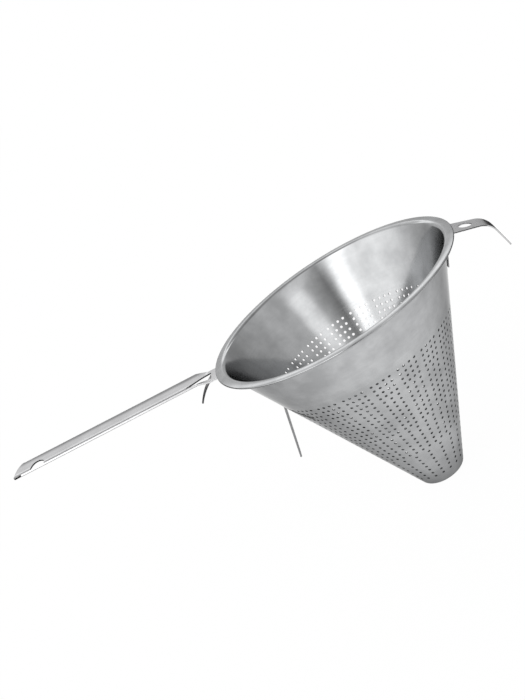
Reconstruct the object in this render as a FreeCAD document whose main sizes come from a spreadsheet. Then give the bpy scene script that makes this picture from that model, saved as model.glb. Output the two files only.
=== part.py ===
import FreeCAD, Part

# Chinois strainer: a seamless steel cone punched in panels, with three strap parts welded to it.
# Each opening here stands for two rows of the real cone's small round holes in its panel.
# Millimetres, +Z up along the cone's axis, origin at the centre of the rim's top face.
# The handle points along -X and the pot hook along +X.

import math
import os
import re

import Sketcher

Vector = FreeCAD.Vector
Rotation = FreeCAD.Rotation

DIMENSIONS = {
    # Cone and rim
    "rim_radius": 100.0,
    "flange_width": 7.6,
    "sheet_thickness": 0.8,
    "cone_depth": 166.5,
    "nose_radius": 16.2,
    "nose_corner": 5.0,
    "mouth_bend": 3.0,
    "hem_width": 4.5,
    "hem_chamfer": 0.4,
    # Punched panels
    "panel_count": 21,
    "opening_rows": 12,
    "opening_depth": 46.5,
    "nose_band": 13.3,
    "opening_height": 3.4,
    "opening_margin": 0.9,
    "opening_point": 0.6,
    # Handle
    "handle_width": 21.0,
    "handle_gauge": 1.2,
    "handle_length": 172.7,
    "handle_end_radius": 10.0,
    "handle_rise": 4.95,
    "handle_drop": 1.75,
    "handle_bend": 5.0,
    "handle_tail_depth": 26.0,
    "trough_depth": 2.8,
    "flat_length": 6.5,
    "runout_length": 9.0,
    "hang_hole_diameter": 12.0,
    "hang_hole_inset": 20.2,
    "window_offset": 4.5,
    "window_length": 23.0,
    "window_width": 12.0,
    "window_corner": 0.6,
    "tongue_width": 9.8,
    "tongue_embed": 0.8,
    "tongue_root_inset": 0.15,
    "tongue_tip_width": 3.5,
    "tongue_run": 17.5,
    "tongue_fall": 14.5,
    "tongue_belly": 0.8,
    "tongue_tilt": 38.0,
    "tongue_curl": 12.0,
    # Pot hook
    "hook_width": 22.0,
    "hook_gauge": 1.0,
    "hook_drop": 3.8,
    "hook_run": 23.8,
    "hook_slope": 19.5,
    "hook_bend": 5.0,
    "hook_crown": 15.0,
    "hook_crown_width": 17.5,
    "hook_taper_depth": 13.0,
    "hook_tip_run": 29.75,
    "hook_tip_depth": 37.25,
    "hook_tip_width": 7.0,
    "hook_tip_corner": 3.0,
    "hook_hole_diameter": 9.6,
    "hook_hole_run": 8.3,
    "hook_tail_depth": 23.4,
    # Rest leg below the handle
    "leg_width": 20.0,
    "leg_gauge": 1.2,
    "leg_top_depth": 29.0,
    "leg_bend_depth": 49.0,
    "leg_bend": 6.0,
    "leg_splay": 15.8,
    "leg_length": 47.4,
    "leg_tip_width": 8.0,
    "leg_tip_corner": 3.5,
    # Film of filler metal between a strap and the wall that it is welded to
    "weld_gap": 0.05,
    # How far a cutting sketch reaches past the metal that it trims
    "trim_margin": 5.0,
}

doc = FreeCAD.newDocument("chinois")
sheet = doc.addObject("Spreadsheet::Sheet", "Dimensions")
for row, (alias, number) in enumerate(DIMENSIONS.items(), start=1):
    sheet.set(f"A{row}", alias)
    sheet.set(f"B{row}", str(number))
    sheet.setAlias(f"B{row}", alias)
doc.recompute()

# The wall's faces as straight lines in a half section: radius at the rim's level, slope and lean
MOUTH = "(rim_radius - flange_width)"
SLOPE = f"(({MOUTH} - nose_radius) / cone_depth)"
LEAN = f"(atan({SLOPE}) / 1 deg)"
OUTER_FACE = f"({MOUTH} + sheet_thickness / cos(atan({SLOPE})))"
WELD_FACE = f"({MOUTH} + (sheet_thickness + weld_gap) / cos(atan({SLOPE})))"
HALF_FACET = "(90 deg / panel_count)"
ROW_PITCH = "((cone_depth - nose_band - opening_depth) / (opening_rows - 1))"


def bound(expression):
    """Return an expression with every dimension's name pointing at its cell in the sheet."""
    names = "|".join(DIMENSIONS)
    return re.sub(rf"\b({names})\b", r"Dimensions.\1", str(expression))


def value(expression):
    """Return the number that an expression of the sheet's dimensions has now."""
    result = sheet.evalExpression(bound(expression))
    return float(getattr(result, "Value", result))


def wall_radius(face, depth):
    """Return the expression of a wall face's radius at a depth below the rim."""
    return f"({face} - ({depth}) * {SLOPE})"


def plane_of(body, role):
    """Return one of the body's own origin planes or axes."""
    return next(feature for feature in body.Origin.OriginFeatures if feature.Role == role)


def new_sketch(body, name, role, shift=("0", "0", "0"), tilt="0"):
    """Return a sketch on an origin plane, moved by expressions and tipped about the body's Y axis."""
    sketch = body.newObject("Sketcher::SketchObject", name)
    sketch.AttachmentSupport = [(plane_of(body, role), "")]
    sketch.MapMode = "FlatFace"
    hinge = Vector(1, 0, 0) if role == "YZ_Plane" else Vector(0, 1, 0)
    sketch.AttachmentOffset = FreeCAD.Placement(Vector(), Rotation(hinge, 1.0))
    for axis, expression in zip("xyz", shift):
        sketch.setExpression(f"AttachmentOffset.Base.{axis}", bound(expression))
    sketch.setExpression("AttachmentOffset.Rotation.Angle", bound(f"({tilt}) * 1 deg"))
    return sketch


def constrain(sketch, kind, *references, to=None):
    """Add a constraint, and bind its value to an expression of the sheet if one is given."""
    if to is None:
        return sketch.addConstraint(Sketcher.Constraint(kind, *references))
    index = sketch.addConstraint(Sketcher.Constraint(kind, *references, value(to)))
    label = f"{kind.lower()}_{index}"
    sketch.renameConstraint(index, label)
    sketch.setExpression(f"Constraints.{label}", bound(to))
    return index


def place(sketch, geometry, position, x, y):
    """Bind one point of a sketch to coordinates given as expressions."""
    constrain(sketch, "DistanceX", -1, 1, geometry, position, to=x)
    constrain(sketch, "DistanceY", -1, 1, geometry, position, to=y)


def outline(sketch, corners, closed=True):
    """Draw straight runs through corners of (x, y, radius), with an arc wherever a radius is given."""
    points = [Vector(value(x), value(y), 0) for x, y, _ in corners]
    count = len(corners)
    runs = count if closed else count - 1
    rounded = [radius is not None for _, _, radius in corners]
    trims = []
    for index, (_, _, radius) in enumerate(corners):
        if radius is None:
            trims.append((points[index], points[index]))
            continue
        before = (points[index - 1] - points[index]).normalize()
        after = (points[(index + 1) % count] - points[index]).normalize()
        reach = value(radius) / math.tan(before.getAngle(after) / 2)
        trims.append((points[index] + before * reach, points[index] + after * reach))
    lines = []
    for index in range(runs):
        start = trims[index][1]
        end = trims[(index + 1) % count][0]
        lines.append(sketch.addGeometry(Part.LineSegment(start, end)))
    for index, (x, y, radius) in enumerate(corners):
        has_before = closed or index > 0
        has_after = closed or index < count - 1
        arriving = lines[index - 1] if has_before else None
        leaving = lines[index % runs] if has_after else None
        if not rounded[index]:
            if has_before and has_after:
                constrain(sketch, "Coincident", arriving, 2, leaving, 1)
            if has_after:
                place(sketch, leaving, 1, x, y)
            else:
                place(sketch, arriving, 2, x, y)
            continue
        first, last = trims[index]
        before = (points[index - 1] - points[index]).normalize()
        after = (points[(index + 1) % count] - points[index]).normalize()
        inward = (before + after).normalize()
        centre = points[index] + inward * (value(radius) / math.sin(before.getAngle(after) / 2))
        angles = [math.atan2(end.y - centre.y, end.x - centre.x) for end in (first, last)]
        turns_left = before.cross(after).z < 0
        if not turns_left:
            angles.reverse()
        circle = Part.Circle(centre, Vector(0, 0, 1), value(radius))
        arc = sketch.addGeometry(Part.ArcOfCircle(circle, *angles))
        arc_ends = (1, 2) if turns_left else (2, 1)
        constrain(sketch, "Tangent", arriving, 2, arc, arc_ends[0])
        constrain(sketch, "Tangent", leaving, 1, arc, arc_ends[1])
        constrain(sketch, "Radius", arc, to=radius)
        corner = sketch.addGeometry(Part.Point(points[index]), True)
        place(sketch, corner, 1, x, y)
        constrain(sketch, "PointOnObject", corner, 1, arriving)
        constrain(sketch, "PointOnObject", corner, 1, leaving)


def new_body(label):
    """Return an empty body named for its piece."""
    body = doc.addObject("PartDesign::Body", label)
    body.Label = label
    return body


def block(sketch, width, top, bottom):
    """Draw a rectangle of a given width, centred on the y axis, between two heights."""
    outline(sketch, [
        (f"-({width}) / 2", top, None),
        (f"-({width}) / 2", bottom, None),
        (f"({width}) / 2", bottom, None),
        (f"({width}) / 2", top, None),
    ])


def pocket(body, name, sketch, length=None, midplane=False, reverse=False):
    """Cut a sketch through the body, or to a length, and check that it took material away."""
    before = body.Shape.Volume
    feature = body.newObject("PartDesign::Pocket", name)
    feature.Profile = sketch
    feature.Reversed = reverse
    feature.Midplane = midplane
    if length is None:
        feature.Type = "ThroughAll"
    else:
        feature.Type = "Length"
        feature.setExpression("Length", bound(length))
    doc.recompute()
    if not body.Shape.Volume < before:
        raise RuntimeError(f"{name} cut nothing")
    return feature


def strap_sweep(body, name, corners, width, gauge, start_tilt):
    """Sweep a flat strap along a path in the XZ plane; the path is the face that meets the wall."""
    path = new_sketch(body, f"{name}_path", "XZ_Plane")
    outline(path, corners, closed=False)
    start_x, start_z, _ = corners[0]
    section = new_sketch(body, f"{name}_section", "YZ_Plane", ("0", start_z, start_x), start_tilt)
    block(section, width, "0", f"-({gauge})")
    doc.recompute()
    sweep = body.newObject("PartDesign::AdditivePipe", name)
    sweep.Profile = section
    sweep.Spine = path
    doc.recompute()
    return sweep


def arc_points(centre, radius, first, last):
    """Return three points of an arc in the half section, from one angle in degrees to another."""
    points = []
    for angle in (first, (first + last) / 2, last):
        turn = math.radians(angle)
        points.append((centre[0] + radius * math.cos(turn), centre[1] + radius * math.sin(turn)))
    return points


def wall_section():
    """Return the sheet's half section as (radius, height): outside from the nose up, inside back down."""
    lean = value(LEAN)
    thickness = value("sheet_thickness")
    depth = value("cone_depth")
    corner = value("nose_corner")
    bend = value("mouth_bend")
    reach = math.tan(math.radians(45 - lean / 2))
    nose = (value(wall_radius(OUTER_FACE, "cone_depth")) - corner * reach, corner - depth)
    mouth = (value(MOUTH) + bend * reach, -bend)
    lap = value("rim_radius - hem_width + sheet_thickness")
    section = arc_points(nose, corner, -90, -lean)
    section.append((value(wall_radius(OUTER_FACE, "sheet_thickness")), -thickness))
    section += [(lap, -thickness), (lap, 0.0)]
    section += arc_points(mouth, bend, 90, 180 - lean)
    section += arc_points(nose, corner - thickness, -lean, -90)
    return section


def faceted_solid(name, section):
    """Turn a half section round the axis in flat facets, two to a panel, with a flat cap at each end."""
    facets = round(2 * value("panel_count"))
    half = math.pi / facets
    rings = []
    for radius, height in section:
        reach = radius / math.cos(half)
        turns = [(2 * number + 1) * half for number in range(facets)]
        rings.append([Vector(reach * math.cos(turn), reach * math.sin(turn), height) for turn in turns])
    outlines = [rings[0], rings[-1]]
    for lower, upper in zip(rings, rings[1:]):
        outlines += [[lower[k - 1], lower[k], upper[k], upper[k - 1]] for k in range(facets)]
    faces = [Part.Face(Part.makePolygon(corners + corners[:1])) for corners in outlines]
    shell = Part.makeShell(faces)
    shell.sewShape()
    feature = doc.addObject("Part::Feature", name)
    feature.Shape = Part.makeSolid(shell)
    return feature


def make_cone():
    """Build the cone: mouth with a hemmed rim, plain band, wall with a ladder of openings in each panel."""
    body = new_body("perforated_cone")
    body.BaseFeature = faceted_solid("sheet_wall", wall_section())
    section = new_sketch(body, "hem_section", "XZ_Plane")
    outline(section, [
        ("rim_radius - hem_width", "0", None),
        ("rim_radius - hem_chamfer", "0", None),
        ("rim_radius", "-hem_chamfer", None),
        ("rim_radius", "hem_chamfer - 2 * sheet_thickness", None),
        ("rim_radius - hem_chamfer", "-2 * sheet_thickness", None),
        ("rim_radius - hem_width", "-2 * sheet_thickness", None),
    ])
    doc.recompute()
    hem = body.newObject("PartDesign::Revolution", "hem")
    hem.Profile = section
    hem.ReferenceAxis = (section, ["V_Axis"])
    hem.Angle = 360
    doc.recompute()
    panel = pocket(body, "panel_openings", ladder(body), "4 * sheet_thickness")
    panels = body.newObject("PartDesign::PolarPattern", "panels")
    panels.Originals = [panel]
    panels.Axis = (plane_of(body, "Z_Axis"), [""])
    panels.Angle = 360
    panels.setExpression("Occurrences", bound("panel_count"))
    body.Tip = panels
    doc.recompute()
    return body


def ladder(body):
    """Draw one panel's six-sided openings along the wall, each as wide as the facet is at its depth."""
    spot = ("0", "0", f"{OUTER_FACE} + sheet_thickness")
    sketch = new_sketch(body, "panel_ladder", "YZ_Plane", spot, LEAN)
    for row in range(round(value("opening_rows"))):
        slant = f"((opening_depth + {row} * {ROW_PITCH}) / cos(atan({SLOPE})))"
        corners = []
        for side, edge in ((-1, 1), (-1, 0), (-1, -1), (1, -1), (1, 0), (1, 1)):
            along = f"({edge} * opening_height / 2 - {slant})"
            facet = f"(({OUTER_FACE} + {along} * sin(atan({SLOPE}))) * tan({HALF_FACET}))"
            taper = f"{abs(edge)} * opening_point"
            corners.append((f"{side} * ({facet} - opening_margin - {taper})", along, None))
        outline(sketch, corners)
    doc.recompute()
    return sketch


def trough(sketch):
    """Draw the handle's trough: two arcs about one centre, with the floor level with the flat root."""
    radius = "((handle_width ^ 2 / 4 + trough_depth ^ 2) / (2 * trough_depth))"
    half = value("handle_width") / 2
    centre = Vector(0, value(radius), 0)
    arcs = []
    for extra in ("0", "handle_gauge"):
        size = value(f"{radius} + {extra}")
        spread = math.asin(half / size)
        circle = Part.Circle(centre, Vector(0, 0, 1), size)
        middle = -math.pi / 2
        arcs.append(sketch.addGeometry(Part.ArcOfCircle(circle, middle - spread, middle + spread)))
        constrain(sketch, "Radius", arcs[-1], to=f"{radius} + {extra}")
        place(sketch, arcs[-1], 3, "0", radius)
        constrain(sketch, "DistanceX", -1, 1, arcs[-1], 1, to="-handle_width / 2")
        constrain(sketch, "DistanceX", -1, 1, arcs[-1], 2, to="handle_width / 2")
    upper, lower = (sketch.Geometry[arc] for arc in arcs)
    for end, first, last in ((1, upper.StartPoint, lower.StartPoint), (2, upper.EndPoint, lower.EndPoint)):
        side = sketch.addGeometry(Part.LineSegment(first, last))
        constrain(sketch, "Coincident", side, 1, arcs[0], end)
        constrain(sketch, "Coincident", side, 2, arcs[1], end)


def make_handle():
    """Build the handle along +X: welded tail, flat root with window and tongue, trough and hanging hole."""
    body = new_body("handle")
    rise = "tan(handle_rise * 1 deg)"
    level = f"(rim_radius * {rise} + handle_drop)"
    root_x = f"(({WELD_FACE} - {level} * {SLOPE}) / (1 - {rise} * {SLOPE}))"
    end_x = "(rim_radius + handle_length)"
    window_x = "(rim_radius + window_offset)"
    flat_x = "(rim_radius + flat_length)"
    runout_x = f"({flat_x} + runout_length * cos(handle_rise * 1 deg))"

    def top(x):
        return f"(({x}) * {rise} - {level})"

    strap_sweep(body, "root_strap", [
        (wall_radius(WELD_FACE, "handle_tail_depth"), "-handle_tail_depth", None),
        (root_x, top(root_x), "handle_bend"),
        (flat_x, top(flat_x), None),
    ], "handle_width", "handle_gauge", f"{LEAN} - 90")
    flat = new_sketch(body, "flat_section", "YZ_Plane", ("0", top(flat_x), flat_x), "-handle_rise")
    block(flat, "handle_width", "0", "-handle_gauge")
    full = new_sketch(body, "trough_section", "YZ_Plane", ("0", top(runout_x), runout_x), "-handle_rise")
    trough(full)
    doc.recompute()
    runout = body.newObject("PartDesign::AdditiveLoft", "trough_runout")
    runout.Profile = flat
    runout.Sections = [full]
    doc.recompute()
    grip = body.newObject("PartDesign::Pad", "grip")
    grip.Profile = full
    grip.Type = "Length"
    grip.setExpression("Length", bound(f"({end_x} - {runout_x}) / cos(handle_rise * 1 deg)"))
    doc.recompute()
    trim_handle(body, end_x, window_x, top)
    add_tongue(body, window_x, top(window_x))
    body.Placement = FreeCAD.Placement(Vector(), Rotation(Vector(0, 0, 1), 180))
    return body


def trim_handle(body, end_x, window_x, top):
    """Round the handle's end and cut its hanging hole and the window behind the rim."""
    half = "handle_width / 2"
    end = new_sketch(body, "end_trim", "XY_Plane", ("0", "0", "handle_width"))
    outline(end, [
        (f"{end_x} - {half}", half, None),
        (end_x, half, "handle_end_radius"),
        (end_x, f"-{half}", "handle_end_radius"),
        (f"{end_x} - {half}", f"-{half}", None),
        (f"{end_x} - {half}", f"-{half} - trim_margin", None),
        (f"{end_x} + trim_margin", f"-{half} - trim_margin", None),
        (f"{end_x} + trim_margin", f"{half} + trim_margin", None),
        (f"{end_x} - {half}", f"{half} + trim_margin", None),
    ])
    pocket(body, "rounded_end", end)
    eye_x = f"({end_x} - hang_hole_inset)"
    eye = new_sketch(body, "hang_eye", "XY_Plane", (eye_x, "0", top(eye_x)), "-handle_rise")
    drill(eye, "0", "0", "hang_hole_diameter / 2")
    pocket(body, "hang_hole", eye, midplane=True)
    frame = new_sketch(body, "window_outline", "XY_Plane", ("0", "0", "handle_width"))
    outline(frame, [
        (window_x, "window_width / 2", "window_corner"),
        (window_x, "-window_width / 2", "window_corner"),
        (f"{window_x} + window_length", "0", "window_corner"),
    ])
    pocket(body, "window", frame)


def add_tongue(body, root_x, root_z):
    """Bend the metal of the window down as a tapering tongue that rests on a pot's rim."""
    root_fall = "tongue_embed * tan(handle_rise * 1 deg)"
    middle_run = "tongue_run / 2 + tongue_belly"
    middle_fall = "tongue_fall / 2 - tongue_belly"
    middle_width = "(tongue_width + tongue_tip_width) / 2"
    stations = [
        ("-tongue_embed", root_fall, "tongue_width", "-handle_rise", "tongue_root_inset"),
        (middle_run, middle_fall, middle_width, "tongue_tilt", "0"),
        ("tongue_run", "tongue_fall", "tongue_tip_width", "tongue_tilt + tongue_curl", "0"),
    ]
    sections = []
    for number, (run, fall, width, tilt, inset) in enumerate(stations, start=1):
        spot = ("0", f"{root_z} - ({fall})", f"{root_x} + ({run})")
        sections.append(new_sketch(body, f"tongue_section_{number}", "YZ_Plane", spot, tilt))
        block(sections[-1], width, f"-{inset}", f"{inset} - handle_gauge")
    doc.recompute()
    tongue = body.newObject("PartDesign::AdditiveLoft", "tongue")
    tongue.Profile = sections[0]
    tongue.Sections = sections[1:]
    doc.recompute()


def drill(sketch, x, y, radius):
    """Draw one circle in a sketch."""
    circle = Part.Circle(Vector(value(x), value(y), 0), Vector(0, 0, 1), value(radius))
    index = sketch.addGeometry(circle)
    place(sketch, index, 3, x, y)
    constrain(sketch, "Radius", index, to=radius)


def taper_end(body, name, widths, depths, corner, start, length=None):
    """Cut a strap's free end to a tapering tongue with rounded corners, as seen along the X axis."""
    (root, tip), (upper, lower) = [[f"({item})" for item in pair] for pair in (widths, depths)]
    sketch = new_sketch(body, f"{name}_trim", "YZ_Plane", ("0", "0", start))
    side = f"({root} / 2 + trim_margin)"
    outline(sketch, [
        (f"{root} / 2", f"-{upper}", None),
        (f"{tip} / 2", f"-{lower}", corner),
        (f"-{tip} / 2", f"-{lower}", corner),
        (f"-{root} / 2", f"-{upper}", None),
        (f"-{side}", f"-{upper}", None),
        (f"-{side}", f"-{lower} - trim_margin", None),
        (side, f"-{lower} - trim_margin", None),
        (side, f"-{upper}", None),
    ])
    pocket(body, name, sketch, length)


def make_hook():
    """Build the pot hook along +X: welded tail, sloping flat with a hole, crown and tapered tip."""
    body = new_body("pot_hook")
    fall = "tan(hook_slope * 1 deg)"
    level = f"(hook_drop - rim_radius * {fall})"
    root_x = f"(({WELD_FACE} - {level} * {SLOPE}) / (1 + {fall} * {SLOPE}))"
    crown_x = "(rim_radius + hook_run)"
    tip_x = "(rim_radius + hook_tip_run)"
    eye_x = "(rim_radius + hook_hole_run)"

    def top(x):
        return f"(-({x}) * {fall} - {level})"

    strap_sweep(body, "hook_strap", [
        (wall_radius(WELD_FACE, "hook_tail_depth"), "-hook_tail_depth", None),
        (root_x, top(root_x), "hook_bend"),
        (crown_x, top(crown_x), "hook_crown"),
        (tip_x, "-hook_tip_depth", None),
    ], "hook_width", "hook_gauge", f"{LEAN} - 90")
    eye = new_sketch(body, "hook_eye", "XY_Plane", (eye_x, "0", top(eye_x)), "hook_slope")
    drill(eye, "0", "0", "hook_hole_diameter / 2")
    pocket(body, "hook_hole", eye, midplane=True)
    flanks = new_sketch(body, "flank_trim", "XY_Plane", ("0", "0", "trim_margin"))
    for side in (1, -1):
        outline(flanks, [
            ("rim_radius", f"{side} * hook_width / 2", None),
            (crown_x, f"{side} * hook_crown_width / 2", None),
            (f"{tip_x} + trim_margin", f"{side} * hook_crown_width / 2", None),
            (f"{tip_x} + trim_margin", f"{side} * (hook_width / 2 + trim_margin)", None),
            ("rim_radius", f"{side} * (hook_width / 2 + trim_margin)", None),
        ])
    pocket(body, "tapered_flanks", flanks)
    taper_end(body, "hook_tip", ("hook_crown_width", "hook_tip_width"),
              ("hook_taper_depth", "hook_tip_depth"), "hook_tip_corner", f"({tip_x} + trim_margin)",
              f"{tip_x} + trim_margin - rim_radius")
    return body


def make_leg():
    """Build the rest leg along +X: a plate welded to the wall, bent away from it to a rounded end."""
    body = new_body("rest_leg")
    bend_x = wall_radius(WELD_FACE, "leg_bend_depth")
    tip_x = f"({bend_x} + leg_length * sin(leg_splay * 1 deg))"
    tip_depth = "(leg_bend_depth + leg_length * cos(leg_splay * 1 deg))"
    strap_sweep(body, "leg_strap", [
        (tip_x, f"-{tip_depth}", None),
        (bend_x, "-leg_bend_depth", "leg_bend"),
        (wall_radius(WELD_FACE, "leg_top_depth"), "-leg_top_depth", None),
    ], "leg_width", "leg_gauge", "-90 - leg_splay")
    taper_end(body, "leg_tip", ("leg_width", "leg_tip_width"), ("leg_top_depth", tip_depth),
              "leg_tip_corner", "(rim_radius + trim_margin)")
    body.Placement = FreeCAD.Placement(Vector(), Rotation(Vector(0, 0, 1), 180))
    return body


def write(bodies):
    """Check every object of the document, then write each piece to its own file."""
    doc.recompute()
    for item in doc.Objects:
        if any(word in state for state in item.State for word in ("Invalid", "Error")):
            raise RuntimeError(f"{item.Label} failed: {item.State}")
    for body in bodies:
        if body.Shape.isNull() or not body.Shape.isValid() or len(body.Shape.Solids) != 1:
            raise RuntimeError(f"{body.Label} is not one valid solid")
    os.makedirs("parts", exist_ok=True)
    for body in bodies:
        body.Shape.exportStep(f"parts/{body.Label}.step")


write([make_cone(), make_handle(), make_hook(), make_leg()])
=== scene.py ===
"""Dress the chinois strainer: spun and punched steel cone, strip-steel handle, pot hook and rest leg."""

import logging
import math
from dataclasses import dataclass
from enum import Enum
from typing import Any

import bpy
from mathutils import Matrix, Vector

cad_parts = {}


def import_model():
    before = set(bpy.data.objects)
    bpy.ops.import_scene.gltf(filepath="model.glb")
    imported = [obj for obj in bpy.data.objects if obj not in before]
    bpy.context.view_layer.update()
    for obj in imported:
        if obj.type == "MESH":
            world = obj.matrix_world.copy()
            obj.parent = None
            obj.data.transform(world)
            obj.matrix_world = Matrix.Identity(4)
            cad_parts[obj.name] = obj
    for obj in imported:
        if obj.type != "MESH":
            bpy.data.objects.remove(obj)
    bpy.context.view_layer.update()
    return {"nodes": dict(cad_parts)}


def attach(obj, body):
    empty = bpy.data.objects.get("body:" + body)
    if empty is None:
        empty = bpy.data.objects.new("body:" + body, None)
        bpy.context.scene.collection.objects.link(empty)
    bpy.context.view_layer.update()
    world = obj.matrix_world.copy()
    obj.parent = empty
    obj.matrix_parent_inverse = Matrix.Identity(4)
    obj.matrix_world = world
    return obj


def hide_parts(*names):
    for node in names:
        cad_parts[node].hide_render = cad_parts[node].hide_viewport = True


LOG = logging.getLogger("chinois")
MM = 0.001

Span = tuple[float, float]
Triple = tuple[float, float, float]
Colour = tuple[float, float, float, float]
Ring = tuple[float, float, int]

# Grain of every noise pattern, and the part of its range that the lines and the clouds take up.
NOISE = {"Detail": 3.0, "Roughness": 0.6}
LINE_SPAN: Span = (0.3, 0.7)
CLOUD_SPAN: Span = (0.4, 0.65)
# Radius at which the length of the spun lines is measured.
SPUN_RADIUS_MM = 80.0
# Place among a piece's materials of the finish of cut walls, which is painted dark as shade.
CUT_SHADE_FINISH = 1


class Slot(Enum):
    """Material slots of the part's record."""

    CONE = "cone_steel"
    STRAP = "strap_steel"


class Grain(Enum):
    """The way in which the marks of the working run on a steel surface."""

    SPUN = "rings round the cone's axis"
    ROLLED = "lines along the strip"


class Finish(Enum):
    """Finishes of the strainer's steel, two of them with painted shade, with the names of their materials."""

    SPUN = "spun stainless steel"
    ROLLED = "rolled stainless strip"
    SHADED_STRIP = "stainless strip painted dark as shade"
    TORN_AND_SHADED = "rough punched edge painted dark as shade"


def linear(hex_colour: str) -> Colour:
    """Turn an sRGB hex colour into linear values.

    Args:
        hex_colour: six hex digits after a hash sign.

    Returns:
        The linear red, green and blue, and an alpha of 1.
    """
    parts = [int(hex_colour[i:i + 2], 16) / 255 for i in (1, 3, 5)]
    red, green, blue = (p / 12.92 if p <= 0.04045 else ((p + 0.055) / 1.055) ** 2.4 for p in parts)
    return red, green, blue, 1.0


def grey(level: float) -> Colour:
    """Give the linear grey of a light's brightness."""
    return level, level, level, 1.0


def span(edges: Span, start: float = 0.0, end: float = 1.0) -> dict[str, float]:
    """Give the values of a Map Range node.

    Args:
        edges: the input's range.
        start: the result at the first edge.
        end: the result at the second edge.

    Returns:
        The node's socket values.
    """
    return {"From Min": edges[0], "From Max": edges[1], "To Min": start, "To Max": end}


def add_node(tree: bpy.types.NodeTree, kind: str, settings: dict[str, Any] | None = None,
             links: dict[str | int, bpy.types.NodeSocket] | None = None,
             values: dict[str | int, Any] | None = None) -> bpy.types.Node:
    """Add one node to a node tree.

    Args:
        tree: the tree that gets the node.
        kind: the node's type name.
        settings: properties of the node.
        links: input sockets, by name or number, and the output that feeds each.
        values: input sockets, by name or number, and the value that each holds.

    Returns:
        The new node.
    """
    node = tree.nodes.new(kind)
    for name, setting in (settings or {}).items():
        setattr(node, name, setting)
    for key, value in (values or {}).items():
        node.inputs[key].default_value = value
    for key, source in (links or {}).items():
        tree.links.new(source, node.inputs[key])
    return node


def fill_ramp(ramp: bpy.types.ColorRamp, stops: list[Span]) -> None:
    """Put grey levels on a colour ramp.

    Args:
        ramp: a new ramp with its two first elements.
        stops: place on the ramp and level of each stop, from the first to the last.
    """
    for element, (place, level) in zip(ramp.elements, (stops[0], stops[-1])):
        element.position = place
        element.color = grey(level)
    for place, level in stops[1:-1]:
        ramp.elements.new(place).color = grey(level)


def activate(piece: bpy.types.Object) -> None:
    """Make a piece the only selected and the active object.

    Args:
        piece: the object to work on.
    """
    bpy.ops.object.select_all(action="DESELECT")
    piece.select_set(True)
    bpy.context.view_layer.objects.active = piece


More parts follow.
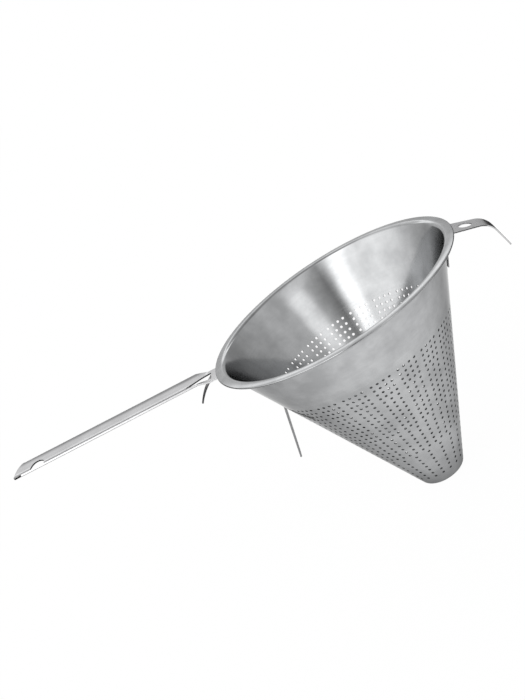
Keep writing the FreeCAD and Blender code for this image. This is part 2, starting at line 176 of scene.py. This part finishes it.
@dataclass(frozen=True)
class SatinSteel:
    """Stainless steel with a satin skin, faint marks of its working that run one way, and clouds."""

    finish: Finish
    colour: str
    dark_colour: str
    cloud_colour: str
    edge_colour: str
    roughness: float
    roughness_spread: float
    grain: Grain
    line_width_mm: float
    line_length_mm: float
    relief_mm: float
    cloud_mm: float

    def build(self) -> bpy.types.Material:
        """Make the material.

        Returns:
            The node material of the finish.
        """
        material = bpy.data.materials.new(self.finish.value)
        material.use_nodes = True
        tree = material.node_tree
        shader = tree.nodes["Principled BSDF"]
        place = add_node(tree, "ShaderNodeTexCoord").outputs["Object"]
        lines = self._lines(tree, place)
        tone = add_node(tree, "ShaderNodeMix", {"data_type": "RGBA"}, {"Factor": lines},
                        {"A": linear(self.dark_colour), "B": linear(self.colour)})
        clouds = add_node(tree, "ShaderNodeTexNoise", None, {"Vector": place},
                          {"Scale": 1 / (self.cloud_mm * MM), **NOISE})
        haze = add_node(tree, "ShaderNodeMapRange", None, {"Value": clouds.outputs["Fac"]}, span(CLOUD_SPAN))
        skin = add_node(tree, "ShaderNodeMix", {"data_type": "RGBA"},
                        {"Factor": haze.outputs["Result"], "A": tone.outputs["Result"]},
                        {"B": linear(self.cloud_colour)})
        tree.links.new(skin.outputs["Result"], shader.inputs["Base Color"])
        low, high = self.roughness - self.roughness_spread, self.roughness + self.roughness_spread
        gloss = add_node(tree, "ShaderNodeMapRange", None, {"Value": lines}, {"To Min": high, "To Max": low})
        tree.links.new(gloss.outputs["Result"], shader.inputs["Roughness"])
        relief = add_node(tree, "ShaderNodeBump", None, {"Height": lines},
                          {"Strength": 1.0, "Distance": self.relief_mm * MM})
        tree.links.new(relief.outputs["Normal"], shader.inputs["Normal"])
        shader.inputs["Metallic"].default_value = 1.0
        shader.inputs["Specular Tint"].default_value = linear(self.edge_colour)
        return material

    def _lines(self, tree: bpy.types.NodeTree, place: bpy.types.NodeSocket) -> bpy.types.NodeSocket:
        """Make the pattern of the working marks.

        Args:
            tree: the material's node tree.
            place: the object coordinates.

        Returns:
            A factor between 0 and 1 that varies across the lines.
        """
        across, along = 1 / (self.line_width_mm * MM), 1 / (self.line_length_mm * MM)
        if self.grain is Grain.ROLLED:
            stretch = add_node(tree, "ShaderNodeMapping", None, {"Vector": place},
                               {"Scale": (along, across, along)})
            vector = stretch.outputs["Vector"]
        else:
            vector = self._rings(tree, place, across, along)
        noise = add_node(tree, "ShaderNodeTexNoise", None, {"Vector": vector}, {"Scale": 1.0, **NOISE})
        spread = add_node(tree, "ShaderNodeMapRange", None, {"Value": noise.outputs["Fac"]}, span(LINE_SPAN))
        return spread.outputs["Result"]

    def _rings(self, tree: bpy.types.NodeTree, place: bpy.types.NodeSocket, across: float,
               along: float) -> bpy.types.NodeSocket:
        """Bend the pattern into rings round the axis, without a seam.

        Args:
            tree: the material's node tree.
            place: the object coordinates.
            across: lines in one metre across them.
            along: lines in one metre along them.

        Returns:
            The place on the rings.
        """
        flat = add_node(tree, "ShaderNodeVectorMath", {"operation": "MULTIPLY"}, {0: place},
                        {1: (1, 1, 0)}).outputs["Vector"]
        reach = add_node(tree, "ShaderNodeVectorMath", {"operation": "LENGTH"}, {0: flat})
        heading = add_node(tree, "ShaderNodeVectorMath", {"operation": "NORMALIZE"}, {0: flat})
        height = add_node(tree, "ShaderNodeSeparateXYZ", None, {"Vector": place})
        path = add_node(tree, "ShaderNodeMath", {"operation": "SUBTRACT"},
                        {0: reach.outputs["Value"], 1: height.outputs["Z"]})
        rings = add_node(tree, "ShaderNodeCombineXYZ", None, {"Z": path.outputs["Value"]})
        scaled = add_node(tree, "ShaderNodeVectorMath", {"operation": "SCALE"},
                          {0: rings.outputs["Vector"]}, {"Scale": across})
        turns = SPUN_RADIUS_MM * MM * along
        joined = add_node(tree, "ShaderNodeVectorMath", {"operation": "MULTIPLY_ADD"},
                          {0: heading.outputs["Vector"], 2: scaled.outputs["Vector"]},
                          {1: (turns, turns, 0)})
        return joined.outputs["Vector"]


@dataclass(frozen=True)
class Band:
    """Rows with equally many holes in a panel; angles in degrees from the panel's middle."""

    rows: int
    columns: tuple[float, ...]
    grid: tuple[float, ...]


@dataclass
class PunchedCone:
    """The spun cone with its rolled rim and its panels of punched holes; sizes in mm and degrees."""

    rim_radius: float = 100.0
    mouth_radius: float = 92.4
    sheet: float = 0.8
    half_angle: float = 24.6
    depth: float = 166.5
    hem_width: float = 4.5
    mouth_bend: float = 3.0
    flange_fall: float = 0.35
    nose_corner: float = 5.0
    nose_ring: float = 6.0
    plain_depths: tuple[float, ...] = (12.0, 24.0, 34.0)
    bend_steps: int = 6
    panels: int = 21
    first_panel: float = -2.14
    first_row: float = 44.3
    row_pitch: float = 4.65
    band_inset: float = 0.12
    hole_radius: float = 1.1
    hole_corners: int = 8
    hole_margin: float = 0.3
    hole_miss: float = 0.05
    segments: int = 10
    merge: float = 0.01
    smooth_angle: float = 35.0

    @property
    def slope(self) -> float:
        """Give the wall's angle to the axis in radians."""
        return math.radians(self.half_angle)

    @property
    def bend(self) -> float:
        """Give the angle in radians between a flat sheet and the wall."""
        return math.pi / 2 - self.slope

    def bands(self) -> list[Band]:
        """List the bands of rows, with a grid line through each column of holes and beside it.

        Returns:
            The bands from the rim to the nose.
        """
        edge = 180 / self.panels
        return [
            Band(4, (-5.7, -1.9, 1.9, 5.7),
                 (-edge, -7.6, -5.7, -3.8, -1.9, 0, 1.9, 3.8, 5.7, 7.6, edge)),
            Band(8, (-5.15, 0, 5.15),
                 (-edge, -7.45, -5.15, -2.85, -2.3, 0, 2.3, 2.85, 5.15, 7.45, edge)),
            Band(6, (-4.3, 4.3),
                 (-edge, -7.6, -4.3, -1.0, -0.5, 0, 0.5, 1.0, 4.3, 7.6, edge)),
            Band(7, (0,),
                 (-edge, -7.8, -7.0, -6.0, -5.0, 0, 5.0, 6.0, 7.0, 7.8, edge)),
        ]

    def wall(self, depth: float) -> float:
        """Give the radius of the sheet's middle at a depth below the rim."""
        return self.mouth_radius + self.sheet / 2 / math.cos(self.slope) - depth * math.tan(self.slope)

    def rings(self) -> list[Ring]:
        """List the rings of the sheet's middle surface: radius, height and band, from the hem to the nose."""
        return self._rim_rings() + self._row_rings() + self._nose_rings()

    def _rim_rings(self) -> list[Ring]:
        """List the rings of the hem, the flange, the mouth's bend and the plain wall.

        Returns:
            Radius, height and band number of each ring.
        """
        half = self.sheet / 2
        fold = self.rim_radius - self.sheet
        rings = [(self.rim_radius - self.hem_width, -3 * half, 0), (fold, -3 * half, 0)]
        for step in range(1, self.bend_steps):
            turn = math.radians(-90 + 180 * step / self.bend_steps)
            rings.append((fold + half * math.cos(turn), -2 * half + half * math.sin(turn), 0))
        rings.append((fold, -half, 0))
        reach = self.mouth_bend * math.tan(self.bend / 2)
        corner = self.wall(half - self.flange_fall)
        for step in range(self.bend_steps + 1):
            turn = self.bend * step / self.bend_steps
            x = corner + reach - self.mouth_bend * math.sin(turn)
            z = self.flange_fall - half - self.mouth_bend * (1 - math.cos(turn))
            rings.append((x, z, 0))
        return rings + [(self.wall(depth), -depth, 0) for depth in self.plain_depths]

    def _row_rings(self) -> list[Ring]:
        """List the rings above, through and below each row of holes.

        Returns:
            Radius, height and band number of each ring.
        """
        start = self.first_row - self.row_pitch / 2
        gap = self.band_inset * self.row_pitch
        rings = []
        row = 0
        for place, band in enumerate(self.bands()):
            for number in range(band.rows):
                top = start + row * self.row_pitch
                inset = 0.0 if number else gap
                centre = top + self.row_pitch / 2
                rings.append((self.wall(top + inset), -top - inset, place))
                rings.append((self.wall(centre), -centre, place))
                row += 1
            end = start + row * self.row_pitch - gap
            rings.append((self.wall(end), -end, place))
        return rings

    def _nose_rings(self) -> list[Ring]:
        """List the rings of the nose's rounded corner and its flat end.

        Returns:
            Radius, height and band number of each ring.
        """
        half = self.sheet / 2
        bottom = self.depth - half
        radius = self.nose_corner - half
        reach = radius * math.tan(self.bend / 2)
        last = len(self.bands()) - 1
        rings = []
        for step in range(self.bend_steps + 1):
            turn = self.bend * step / self.bend_steps
            slide = reach - radius * math.sin(turn)
            lift = radius * (1 - math.cos(turn))
            x = self.wall(bottom) + slide * math.sin(self.slope) - lift * math.cos(self.slope)
            z = -bottom + slide * math.cos(self.slope) + lift * math.sin(self.slope)
            rings.append((x, z, last))
        return rings + [(self.nose_ring, -bottom, last), (0.0, -bottom, last)]

    def hole_centres(self) -> list[Vector]:
        """List the holes of the panel round the X axis.

        Returns:
            Each hole's centre in metres.
        """
        centres = []
        for row, band in enumerate(band for band in self.bands() for _ in range(band.rows)):
            depth = self.first_row + row * self.row_pitch
            centres += [self._point(self.wall(depth), -depth, column) for column in band.columns]
        return centres

    def _point(self, radius: float, height: float, column: float) -> Vector:
        """Give a point of the first panel.

        Args:
            radius: distance from the axis.
            height: height above the rim.
            column: angle from the panel's middle.

        Returns:
            The point in metres.
        """
        turn = math.radians(self.first_panel + column)
        return Vector((radius * math.cos(turn), radius * math.sin(turn), height)) * MM

    def build(self, skin: bpy.types.Material, cut: bpy.types.Material) -> bpy.types.Object:
        """Model the cone and dress it.

        Args:
            skin: the finish of the sheet's faces.
            cut: the finish of the walls of the holes, painted dark as shade.

        Returns:
            The finished object.
        """
        rings = self.rings()
        bands = self.bands()
        bpy.ops.object.select_all(action="DESELECT")
        bpy.ops.mesh.primitive_grid_add(x_subdivisions=self.segments, y_subdivisions=len(rings) - 1, size=2)
        piece = bpy.context.active_object
        piece.name = piece.data.name = "punched_cone"
        for material in (skin, cut):
            piece.data.materials.append(material)
        for vertex in piece.data.vertices:
            line = round((vertex.co.x + 1) / 2 * self.segments)
            ring = round((vertex.co.y + 1) / 2 * (len(rings) - 1))
            radius, height, place = rings[ring]
            vertex.co = self._point(radius, height, bands[place].grid[line])
        self._punch(piece)
        self._close(piece)
        return piece

    def _punch(self, piece: bpy.types.Object) -> None:
        """Punch one panel's holes.

        Args:
            piece: the panel.
        """
        centres = self.hole_centres()
        radius = self.hole_radius * MM
        activate(piece)
        bpy.ops.object.mode_set(mode="EDIT")
        bpy.ops.mesh.select_mode(type="VERT")
        bpy.ops.mesh.select_all(action="DESELECT")
        bpy.ops.object.mode_set(mode="OBJECT")
        for spot in centres:
            vertex = min(piece.data.vertices, key=lambda item: (item.co - spot).length)
            if (vertex.co - spot).length > self.hole_miss * MM:
                raise RuntimeError("a hole has no grid point at its centre")
            vertex.select = True
        bpy.ops.object.mode_set(mode="EDIT")
        bpy.ops.mesh.dissolve_verts()
        bpy.ops.mesh.select_mode(type="FACE")
        bpy.ops.mesh.select_all(action="DESELECT")
        bpy.ops.object.mode_set(mode="OBJECT")
        for face in piece.data.polygons:
            face.select = len(face.vertices) == self.hole_corners
        bpy.ops.object.mode_set(mode="EDIT")
        bpy.ops.mesh.inset(thickness=self.hole_margin * MM, use_individual=True)
        bpy.ops.object.mode_set(mode="OBJECT")
        edge_points = {index for face in piece.data.polygons if face.select for index in face.vertices}
        for index in edge_points:
            vertex = piece.data.vertices[index]
            spot = min(centres, key=lambda item: (item - vertex.co).length)
            vertex.co = spot + (vertex.co - spot).normalized() * radius
        bpy.ops.object.mode_set(mode="EDIT")
        bpy.ops.mesh.delete(type="ONLY_FACE")
        bpy.ops.object.mode_set(mode="OBJECT")

    def _close(self, piece: bpy.types.Object) -> None:
        """Repeat the panel round the axis and give the sheet its thickness.

        Args:
            piece: the punched panel.
        """
        activate(piece)
        copies = self.panels - 1
        bpy.ops.object.mode_set(mode="EDIT")
        bpy.ops.mesh.select_all(action="SELECT")
        bpy.ops.mesh.spin(steps=copies, angle=2 * math.pi * copies / self.panels, dupli=True,
                          center=(0, 0, 0), axis=(0, 0, 1))
        bpy.ops.mesh.select_all(action="SELECT")
        bpy.ops.mesh.remove_doubles(threshold=self.merge * MM)
        bpy.ops.mesh.normals_make_consistent(inside=False)
        bpy.ops.object.mode_set(mode="OBJECT")
        sheet = piece.modifiers.new("sheet", "SOLIDIFY")
        sheet.thickness = self.sheet * MM
        sheet.offset = 0.0
        sheet.use_even_offset = True
        # The cut walls between the two faces of the sheet take the second finish, painted nearly black as the
        # shade in the holes.
        sheet.material_offset_rim = CUT_SHADE_FINISH
        bpy.ops.object.modifier_apply(modifier=sheet.name)
        bpy.ops.object.shade_smooth_by_angle(angle=math.radians(self.smooth_angle))


@dataclass
class RoundedStrap:
    """A strap of strip steel with the form of its CAD node and rounded edges; sizes in mm and degrees."""

    node: str
    edge_radius: float = 0.12
    edge_steps: int = 2
    side: float = 0.0
    lean: float = 0.0
    cut_side: float = 0.0
    cut_start: float = 0.0
    merge: float = 0.002
    flat_angle: float = 0.5
    edge_angle: float = 55.0
    smooth_angle: float = 50.0
    flat_weight: int = 100
    side_margin: float = 0.05
    top_normal: float = 0.5
    upright_normal: float = 0.3

    def build(self, nodes: dict[str, bpy.types.Object], skin: bpy.types.Material,
              cut: bpy.types.Material) -> bpy.types.Object:
        """Model the strap and dress it.

        Args:
            nodes: the CAD nodes by name.
            skin: the finish of the strip's faces.
            cut: the finish of punched walls, painted dark as shade.

        Returns:
            The finished object.
        """
        piece = bpy.data.objects.new(f"{self.node}_strap", nodes[self.node].data.copy())
        bpy.context.scene.collection.objects.link(piece)
        piece.data.name = piece.name
        activate(piece)
        bpy.ops.object.mode_set(mode="EDIT")
        bpy.ops.mesh.select_all(action="SELECT")
        bpy.ops.mesh.remove_doubles(threshold=self.merge * MM)
        bpy.ops.mesh.dissolve_limited(angle_limit=math.radians(self.flat_angle))
        bpy.ops.object.mode_set(mode="OBJECT")
        if self.lean:
            self._lean_edges(piece)
        self._round_edges(piece)
        piece.data.materials.clear()
        piece.data.materials.append(skin)
        if self.cut_side:
            piece.data.materials.append(cut)
            self._mark_cuts(piece)
        return piece

    def _lean_edges(self, piece: bpy.types.Object) -> None:
        """Draw the upper corners of the long edges inwards, as forming a trough does.

        Args:
            piece: the strap.
        """
        tops = [face for face in piece.data.polygons if face.normal.z > self.top_normal]
        upper = {index for face in tops for index in face.vertices}
        bpy.ops.object.mode_set(mode="EDIT")
        bpy.ops.mesh.select_mode(type="VERT")
        bpy.ops.mesh.select_all(action="DESELECT")
        bpy.ops.object.mode_set(mode="OBJECT")
        for vertex in piece.data.vertices:
            at_side = abs(vertex.co.y) > (self.side - self.side_margin) * MM
            vertex.select = at_side and vertex.index in upper
        bpy.ops.object.mode_set(mode="EDIT")
        bpy.ops.transform.resize(value=(1, 1 - self.lean / self.side, 1), center_override=(0, 0, 0))
        bpy.ops.object.mode_set(mode="OBJECT")

    def _round_edges(self, piece: bpy.types.Object) -> None:
        """Break the strip's edges and keep its faces flat to the eye.

        Args:
            piece: the strap.
        """
        edges = piece.modifiers.new("rounded edges", "BEVEL")
        edges.width = self.edge_radius * MM
        edges.segments = self.edge_steps
        edges.limit_method = "ANGLE"
        edges.angle_limit = math.radians(self.edge_angle)
        edges.use_clamp_overlap = False
        bpy.ops.object.modifier_apply(modifier=edges.name)
        bpy.ops.object.shade_smooth_by_angle(angle=math.radians(self.smooth_angle))
        flats = piece.modifiers.new("flat faces", "WEIGHTED_NORMAL")
        flats.weight = self.flat_weight
        flats.keep_sharp = True
        bpy.ops.object.modifier_apply(modifier=flats.name)

    def _mark_cuts(self, piece: bpy.types.Object) -> None:
        """Put the finish of punched walls, painted dark as shade, on the upright faces inside the strip's
        long edges.

        Args:
            piece: the strap.
        """
        for face in piece.data.polygons:
            inside = abs(face.center.y) < self.cut_side * MM and face.center.x < -self.cut_start * MM
            if inside and abs(face.normal.z) < self.upright_normal:
                face.material_index = CUT_SHADE_FINISH


@dataclass
class Studio:
    """White floor, the soft boxes and flags round the object, and the camera.

    Places on the floor are in metres. Edges in the surroundings are parts of a direction of length 1.
    """

    floor_level_mm: float = -167.0
    floor_size: float = 12.0
    floor_colour: str = "#F4F4F4"
    floor_roughness: float = 0.9
    floor_white: float = 0.97
    table_slant: float = -0.27
    table_half: float = 0.5
    table_edge: Span = (0.32, 0.42)
    table_end: float = 0.05
    contact_edge: Span = (0.008, 0.036)
    contact_shade: float = 0.35
    upper_edge: Span = (0.52, 0.6)
    glow_height: float = 0.46
    glow_edge: Span = (0.04, 0.09)
    glow_behind: Span = (0.4, 0.7)
    back_glow: float = 2.2
    overhead_edge: Span = (0.86, 0.96)
    overhead: float = 0.55
    lens_mm: float = 60.6
    sensor_mm: float = 36.0
    near_clip: float = 0.01
    camera_place: Triple = (0.06504, -0.80346, 0.27657)
    camera_right: Triple = (0.83867, -0.05757, -0.54158)
    camera_up: Triple = (0.52420, 0.35512, 0.77401)
    camera_back: Triple = (0.14778, -0.93305, 0.32801)

    def horizon(self) -> list[Span]:
        """List how bright the studio is round the object.

        Returns:
            Azimuth in degrees, anticlockwise from the hook's side, and brightness there.
        """
        right_wall = [(0, 0.78), (40, 0.5)]
        back_wall = [(75, 0.95), (86, 1.0), (93, 1.25), (100, 1.1), (125, 1.0), (140, 0.7)]
        left_box = [(158, 0.92), (180, 1.56), (205, 1.92), (238, 1.88)]
        strip_box = [(243, 2.75), (256, 2.9)]
        dark_flag = [(264, 0.64), (269, 0.31), (280, 0.64), (288, 0.92)]
        front_box = [(295, 1.72), (303, 1.94), (311, 1.72), (318, 0.92), (345, 0.94)]
        return right_wall + back_wall + left_box + strip_box + dark_flag + front_box

    def upper_walls(self) -> list[Span]:
        """List how bright the studio is higher up, above the soft boxes' middles.

        Returns:
            Azimuth in degrees, anticlockwise from the hook's side, and brightness there.
        """
        back_wall = [(20, 0.4), (60, 0.6), (90, 1.3), (125, 1.3), (150, 0.9)]
        left_box = [(180, 1.4), (224, 2.05), (243, 2.7), (256, 2.0)]
        front_wall = [(270, 0.6), (287, 1.35), (332, 0.88), (359, 0.45)]
        return back_wall + left_box + front_wall

    def table(self) -> list[Span]:
        """List how bright the table looks in the steel, from its front to its back.

        Returns:
            Distance behind the cone's axis and brightness there.
        """
        return [(-0.3, 1.6), (-0.13, 1.3), (0.0, 0.95), (0.07, 0.85), (0.2, 1.1)]

    def build(self) -> None:
        """Set up the floor, the surroundings and the camera."""
        self._floor()
        self._world()
        self._camera()

    def _floor(self) -> None:
        """Lay a pale floor, which the camera sees white and the steel mirrors as a small lit table."""
        bpy.ops.object.select_all(action="DESELECT")
        bpy.ops.mesh.primitive_plane_add(size=self.floor_size, location=(0, 0, self.floor_level_mm * MM))
        floor = bpy.context.active_object
        floor.name = "floor"
        # White paper: matt and even, so that only the object's soft shadow shows on it.
        material = bpy.data.materials.new("white paper sweep")
        material.use_nodes = True
        tree = material.node_tree
        shader = tree.nodes["Principled BSDF"]
        shader.inputs["Base Color"].default_value = linear(self.floor_colour)
        shader.inputs["Roughness"].default_value = self.floor_roughness
        mirrored = self._mirrored_table(tree)
        seen = add_node(tree, "ShaderNodeEmission", None, None, {"Strength": 1.0})
        path = add_node(tree, "ShaderNodeLightPath")
        in_metal = add_node(tree, "ShaderNodeMixShader", None,
                            {0: path.outputs["Is Glossy Ray"], 1: shader.outputs["BSDF"],
                             2: mirrored.outputs["Emission"]})
        share = add_node(tree, "ShaderNodeMath", {"operation": "MULTIPLY"},
                         {0: path.outputs["Is Camera Ray"]}, {1: self.floor_white})
        blend = add_node(tree, "ShaderNodeMixShader", None,
                         {0: share.outputs["Value"], 1: in_metal.outputs["Shader"],
                          2: seen.outputs["Emission"]})
        tree.links.new(blend.outputs["Shader"], tree.nodes["Material Output"].inputs["Surface"])
        floor.data.materials.append(material)

    def _mirrored_table(self, tree: bpy.types.NodeTree) -> bpy.types.Node:
        """Make the table as the steel mirrors it: lit from the front, dark round it, with a painted shadow
        under the nose.

        Args:
            tree: the floor's node tree.

        Returns:
            The emission of the table.
        """
        place = add_node(tree, "ShaderNodeTexCoord").outputs["Object"]
        away = add_node(tree, "ShaderNodeVectorMath", {"operation": "DOT_PRODUCT"}, {0: place},
                        {1: (self.table_slant, 1, 0)})
        spot = add_node(tree, "ShaderNodeMapRange", None, {"Value": away.outputs["Value"]},
                        span((-self.table_half, self.table_half)))
        level = add_node(tree, "ShaderNodeValToRGB", None, {"Fac": spot.outputs["Result"]})
        width = 2 * self.table_half
        fill_ramp(level.color_ramp, [(distance / width + 0.5, glow) for distance, glow in self.table()])
        reach = add_node(tree, "ShaderNodeVectorMath", {"operation": "LENGTH"}, {0: place})
        edge = add_node(tree, "ShaderNodeMapRange", None, {"Value": reach.outputs["Value"]},
                        span(self.table_edge, 1.0, self.table_end))
        # Painted shadow: the mirrored table's glow darkens towards the nose, where the object would shade it.
        contact_shadow = add_node(tree, "ShaderNodeMapRange", None, {"Value": reach.outputs["Value"]},
                           span(self.contact_edge, self.contact_shade, 1.0))
        shade = add_node(tree, "ShaderNodeMath", {"operation": "MULTIPLY"},
                         {0: edge.outputs["Result"], 1: contact_shadow.outputs["Result"]})
        return add_node(tree, "ShaderNodeEmission", None,
                        {"Color": level.outputs["Color"], "Strength": shade.outputs["Value"]})

    def _world(self) -> None:
        """Make the surroundings, which the camera sees white."""
        world = bpy.data.worlds.new("white studio")
        bpy.context.scene.world = world
        world.use_nodes = True
        tree = world.node_tree
        background = tree.nodes["Background"]
        tree.links.new(self._surroundings(tree), background.inputs["Color"])
        background.inputs["Strength"].default_value = 1.0
        path = add_node(tree, "ShaderNodeLightPath")
        white = add_node(tree, "ShaderNodeBackground", None, None, {"Color": grey(1.0), "Strength": 1.0})
        blend = add_node(tree, "ShaderNodeMixShader", None,
                         {0: path.outputs["Is Camera Ray"], 1: background.outputs["Background"],
                          2: white.outputs["Background"]})
        tree.links.new(blend.outputs["Shader"], tree.nodes["World Output"].inputs["Surface"])

    def _surroundings(self, tree: bpy.types.NodeTree) -> bpy.types.NodeSocket:
        """Make the soft boxes and flags at the sides, a lit strip behind and a dim ceiling.

        Args:
            tree: the world's node tree.

        Returns:
            The brightness in each direction.
        """
        heading = add_node(tree, "ShaderNodeTexCoord").outputs["Generated"]
        parts = add_node(tree, "ShaderNodeSeparateXYZ", None, {"Vector": heading})
        height = parts.outputs["Z"]
        turn = add_node(tree, "ShaderNodeMath", {"operation": "ARCTAN2"},
                        {0: parts.outputs["Y"], 1: parts.outputs["X"]})
        place = add_node(tree, "ShaderNodeMapRange", None, {"Value": turn.outputs["Value"]},
                         span((-math.pi, math.pi)))
        sides = add_node(tree, "ShaderNodeValToRGB", None, {"Fac": place.outputs["Result"]})
        upper = add_node(tree, "ShaderNodeValToRGB", None, {"Fac": place.outputs["Result"]})
        for ramp, walls in ((sides.color_ramp, self.horizon()), (upper.color_ramp, self.upper_walls())):
            levels = sorted(((azimuth + 180) % 360 / 360, level) for azimuth, level in walls)
            fill_ramp(ramp, levels + [(1.0, levels[0][1])])
        climb = add_node(tree, "ShaderNodeMapRange", None, {"Value": height}, span(self.upper_edge))
        room = add_node(tree, "ShaderNodeMix", {"data_type": "RGBA"},
                        {"Factor": climb.outputs["Result"], "A": sides.outputs["Color"],
                         "B": upper.outputs["Color"]})
        off = add_node(tree, "ShaderNodeMath", {"operation": "SUBTRACT"}, {0: height}, {1: self.glow_height})
        apart = add_node(tree, "ShaderNodeMath", {"operation": "ABSOLUTE"}, {0: off.outputs["Value"]})
        strip = add_node(tree, "ShaderNodeMapRange", None, {"Value": apart.outputs["Value"]},
                         span(self.glow_edge, 1.0, 0.0))
        behind = add_node(tree, "ShaderNodeMapRange", None, {"Value": parts.outputs["Y"]},
                          span(self.glow_behind))
        share = add_node(tree, "ShaderNodeMath", {"operation": "MULTIPLY"},
                         {0: strip.outputs["Result"], 1: behind.outputs["Result"]})
        lit = add_node(tree, "ShaderNodeMix", {"data_type": "RGBA"},
                       {"Factor": share.outputs["Value"], "A": room.outputs["Result"]},
                       {"B": grey(self.back_glow)})
        rise = add_node(tree, "ShaderNodeMapRange", None, {"Value": height}, span(self.overhead_edge))
        whole = add_node(tree, "ShaderNodeMix", {"data_type": "RGBA"},
                         {"Factor": rise.outputs["Result"], "A": lit.outputs["Result"]},
                         {"B": grey(self.overhead)})
        return whole.outputs["Result"]

    def _camera(self) -> None:
        """Stand the camera where the photograph was taken, with its roll."""
        camera = bpy.data.cameras.new("camera")
        camera.lens = self.lens_mm
        camera.sensor_width = self.sensor_mm
        camera.clip_start = self.near_clip
        holder = bpy.data.objects.new("camera", camera)
        bpy.context.scene.collection.objects.link(holder)
        turn = Matrix((self.camera_right, self.camera_up, self.camera_back)).transposed().to_4x4()
        holder.matrix_world = Matrix.Translation(self.camera_place) @ turn
        bpy.context.scene.camera = holder


def steels() -> dict[Finish, bpy.types.Material]:
    """Make the finishes of the strainer.

    Returns:
        The material of each finish.
    """
    # The real lines of the working are about 0.1 mm wide. They are too fine to show in the render,
    # so every finish has them as coarse as they need to be to show.

    # Spun sheet keeps faint rings round the axis, a soft mirror of the room and cloudy wiping marks.
    spun = SatinSteel(Finish.SPUN, colour="#AEAFB0", dark_colour="#AAABAC",
                      cloud_colour="#9B9C9D", edge_colour="#CCCCCC", roughness=0.135,
                      roughness_spread=0.02, grain=Grain.SPUN, line_width_mm=0.8,
                      line_length_mm=60.0, relief_mm=0.0001, cloud_mm=24.0)
    # Rolled strip has fine lines along its length, and is lighter and duller than the spun cone.
    rolled = SatinSteel(Finish.ROLLED, colour="#B9B9BA", dark_colour="#B4B4B5",
                        cloud_colour="#AFAFB0", edge_colour="#D0D0D0", roughness=0.2,
                        roughness_spread=0.02, grain=Grain.ROLLED, line_width_mm=0.5,
                        line_length_mm=25.0, relief_mm=0.0001, cloud_mm=20.0)
    # The leg's strip is painted greyer and darker than the polished straps, as painted shade for the dark
    # reflections on it, and it is also duller.
    shaded_strip = SatinSteel(Finish.SHADED_STRIP, colour="#8C8D8E", dark_colour="#858687",
                      cloud_colour="#808182", edge_colour="#A8A8A8", roughness=0.25,
                      roughness_spread=0.03, grain=Grain.ROLLED, line_width_mm=0.5,
                      line_length_mm=25.0, relief_mm=0.0001, cloud_mm=12.0)
    # A punch tears the walls that it cuts, so they are rough; their colour is painted nearly black, as
    # painted shade inside the holes.
    torn_and_shaded = SatinSteel(Finish.TORN_AND_SHADED, colour="#5C5D5E", dark_colour="#4A4B4C",
                      cloud_colour="#3E3F40", edge_colour="#707070", roughness=0.45,
                      roughness_spread=0.05, grain=Grain.SPUN, line_width_mm=0.4,
                      line_length_mm=20.0, relief_mm=0.002, cloud_mm=3.0)
    return {steel.finish: steel.build() for steel in (spun, rolled, shaded_strip, torn_and_shaded)}


def main() -> None:
    """Build the strainer's pieces and the studio."""
    logging.basicConfig(level=logging.INFO)
    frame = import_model()
    bpy.context.scene.view_settings.view_transform = "Standard"
    steel = steels()
    cone = PunchedCone().build(steel[Finish.SPUN], steel[Finish.TORN_AND_SHADED])
    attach(cone, "root")
    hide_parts("perforated_cone")
    LOG.info("%s: %d faces", cone.name, len(cone.data.polygons))
    # The handle's hang hole takes the cut-wall finish, painted dark as shade.
    handle = RoundedStrap("handle", edge_radius=0.14, side=10.5, lean=0.5, cut_side=9.4, cut_start=104.0)
    pot_hook = RoundedStrap("pot_hook")
    rest_leg = RoundedStrap("rest_leg", edge_radius=0.3)
    # The rest leg takes the strip steel painted dark as shade.
    finishes = (Finish.ROLLED, Finish.ROLLED, Finish.SHADED_STRIP)
    for strap, finish in zip((handle, pot_hook, rest_leg), finishes):
        piece = strap.build(frame["nodes"], steel[finish], steel[Finish.TORN_AND_SHADED])
        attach(piece, "root")
        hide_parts(strap.node)
        LOG.info("%s: %d faces", piece.name, len(piece.data.polygons))
    Studio().build()


if __name__ == "__main__":
    main()
